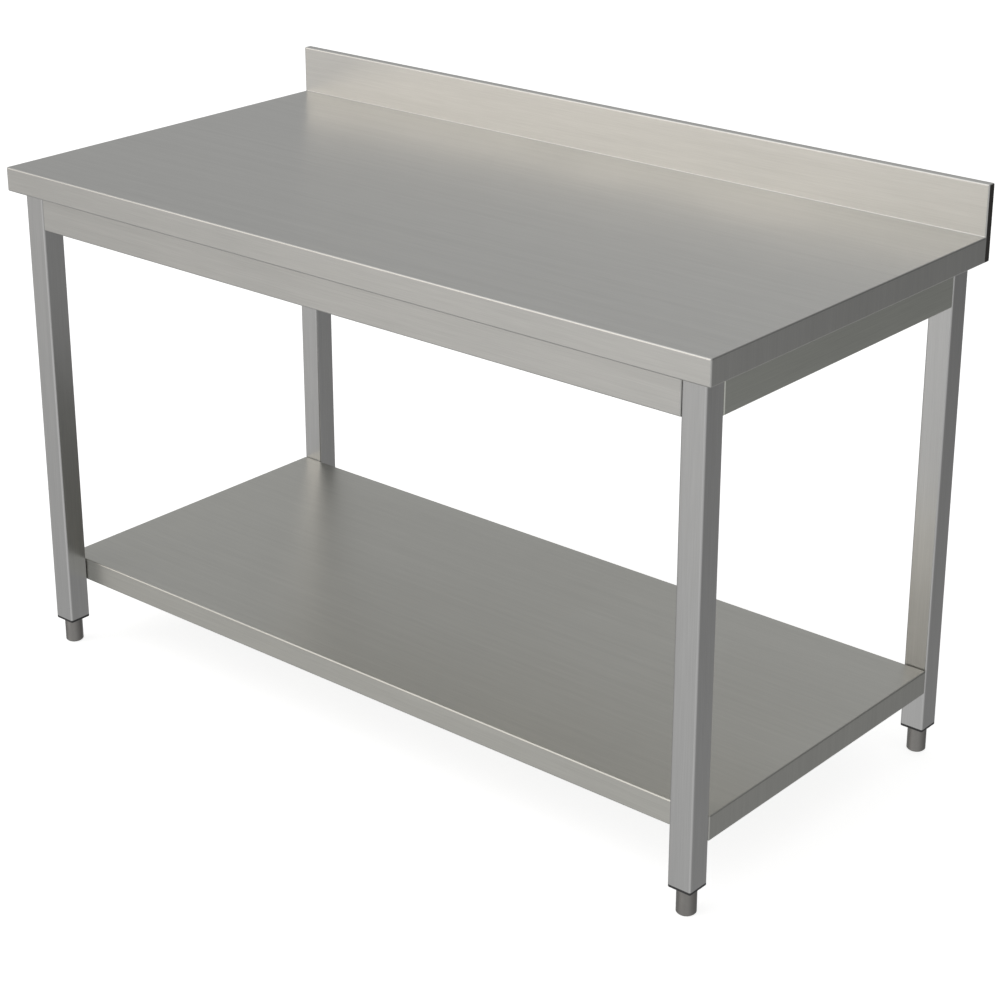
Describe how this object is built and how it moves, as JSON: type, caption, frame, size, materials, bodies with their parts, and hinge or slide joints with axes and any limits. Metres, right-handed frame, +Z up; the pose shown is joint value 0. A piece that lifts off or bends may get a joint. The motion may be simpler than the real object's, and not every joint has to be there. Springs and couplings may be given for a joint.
{
  "type": "work table",
  "caption": "Rectangular stainless work table with a rear upstand, folded edges, square legs, an undershelf and screw-adjustable feet.",
  "frame": {"origin": "on the floor under the middle of the worktop, with the feet screwed all the way in", "axes": "+X along the length to the right, +Y towards the upstand at the back, +Z up"},
  "size_m": [1.4, 0.7, 0.93],
  "materials": {
    "satin_worktop": "satin brushed along the length",
    "satin_end_cap": "ground and brushed",
    "satin_apron": "satin brushed along the length",
    "satin_leg": "satin brushed along the tube",
    "satin_shelf": "satin brushed along the length",
    "galvanised_channel": "galvanised sheet, spangled",
    "laminated_board": "raw chipboard edge with white laminate faces",
    "black_insert": "moulded black polyamide",
    "zinc_nut": "zinc plated",
    "turned_foot": "turned and brushed",
    "threaded_stem": "rolled thread",
    "nylon_glide": "moulded nylon",
    "stainless_fastener": "cold headed stainless",
    "zinc_rivet_nut": "zinc plated",
    "zinc_wood_screw": "yellow zinc plated"
  },
  "bodies": {
    "table": {"worktop_skin": "satin_worktop", "worktop_core_board": "laminated_board", "upstand_end_cap_left": "satin_end_cap", "upstand_end_cap_right": "satin_end_cap", "front_apron": "satin_apron", "right_apron": "satin_apron", "rear_apron": "satin_apron", "left_apron": "satin_apron", "worktop_channel_left": "galvanised_channel", "worktop_channel_middle": "galvanised_channel", "worktop_channel_right": "galvanised_channel", "shelf_pan": "satin_shelf", "shelf_channel_left": "galvanised_channel", "shelf_channel_middle": "galvanised_channel", "shelf_channel_right": "galvanised_channel", "front_left_leg": "satin_leg", "front_left_leg_insert": "black_insert", "front_left_leg_nut": "zinc_nut", "front_right_leg": "satin_leg", "front_right_leg_insert": "black_insert", "front_right_leg_nut": "zinc_nut", "rear_left_leg": "satin_leg", "rear_left_leg_insert": "black_insert", "rear_left_leg_nut": "zinc_nut", "rear_right_leg": "satin_leg", "rear_right_leg_insert": "black_insert", "rear_right_leg_nut": "zinc_nut", "apron_bolts": "stainless_fastener", "apron_washers": "stainless_fastener", "apron_rivet_nuts": "zinc_rivet_nut", "shelf_bolts": "stainless_fastener", "shelf_washers": "stainless_fastener", "shelf_rivet_nuts": "zinc_rivet_nut", "worktop_screws": "zinc_wood_screw"},
    "front_left_foot_pad": {"front_left_foot_glide": "nylon_glide"},
    "front_left_foot_screw": {"front_left_foot_stem": "threaded_stem", "front_left_foot_sleeve": "turned_foot"},
    "front_right_foot_pad": {"front_right_foot_glide": "nylon_glide"},
    "front_right_foot_screw": {"front_right_foot_stem": "threaded_stem", "front_right_foot_sleeve": "turned_foot"},
    "rear_left_foot_pad": {"rear_left_foot_glide": "nylon_glide"},
    "rear_left_foot_screw": {"rear_left_foot_stem": "threaded_stem", "rear_left_foot_sleeve": "turned_foot"},
    "rear_right_foot_pad": {"rear_right_foot_glide": "nylon_glide"},
    "rear_right_foot_screw": {"rear_right_foot_stem": "threaded_stem", "rear_right_foot_sleeve": "turned_foot"}
  },
  "joints": [
    {"name": "front_left_foot_height", "type": "slide", "parent": "table", "child": "front_left_foot_pad", "axis": [0, 0, -1], "range_m": [0, 0.03]},
    {"name": "front_left_foot_turn", "type": "hinge", "parent": "front_left_foot_pad", "child": "front_left_foot_screw", "pos_m": [-0.66, -0.31, 0.02], "axis": [0, 0, -1], "range_deg": [0, 7200]},
    {"name": "front_right_foot_height", "type": "slide", "parent": "table", "child": "front_right_foot_pad", "axis": [0, 0, -1], "range_m": [0, 0.03]},
    {"name": "front_right_foot_turn", "type": "hinge", "parent": "front_right_foot_pad", "child": "front_right_foot_screw", "pos_m": [0.66, -0.31, 0.02], "axis": [0, 0, -1], "range_deg": [0, 7200]},
    {"name": "rear_left_foot_height", "type": "slide", "parent": "table", "child": "rear_left_foot_pad", "axis": [0, 0, -1], "range_m": [0, 0.03]},
    {"name": "rear_left_foot_turn", "type": "hinge", "parent": "rear_left_foot_pad", "child": "rear_left_foot_screw", "pos_m": [-0.66, 0.306, 0.02], "axis": [0, 0, -1], "range_deg": [0, 7200]},
    {"name": "rear_right_foot_height", "type": "slide", "parent": "table", "child": "rear_right_foot_pad", "axis": [0, 0, -1], "range_m": [0, 0.03]},
    {"name": "rear_right_foot_turn", "type": "hinge", "parent": "rear_right_foot_pad", "child": "rear_right_foot_screw", "pos_m": [0.66, 0.306, 0.02], "axis": [0, 0, -1], "range_deg": [0, 7200]}
  ],
  "couplings": [
    {"joint": "front_left_foot_turn", "follows": "front_left_foot_height", "rad_per_m": 4188.8},
    {"joint": "front_right_foot_turn", "follows": "front_right_foot_height", "rad_per_m": 4188.8},
    {"joint": "rear_left_foot_turn", "follows": "rear_left_foot_height", "rad_per_m": 4188.8},
    {"joint": "rear_right_foot_turn", "follows": "rear_right_foot_height", "rad_per_m": 4188.8}
  ]
}
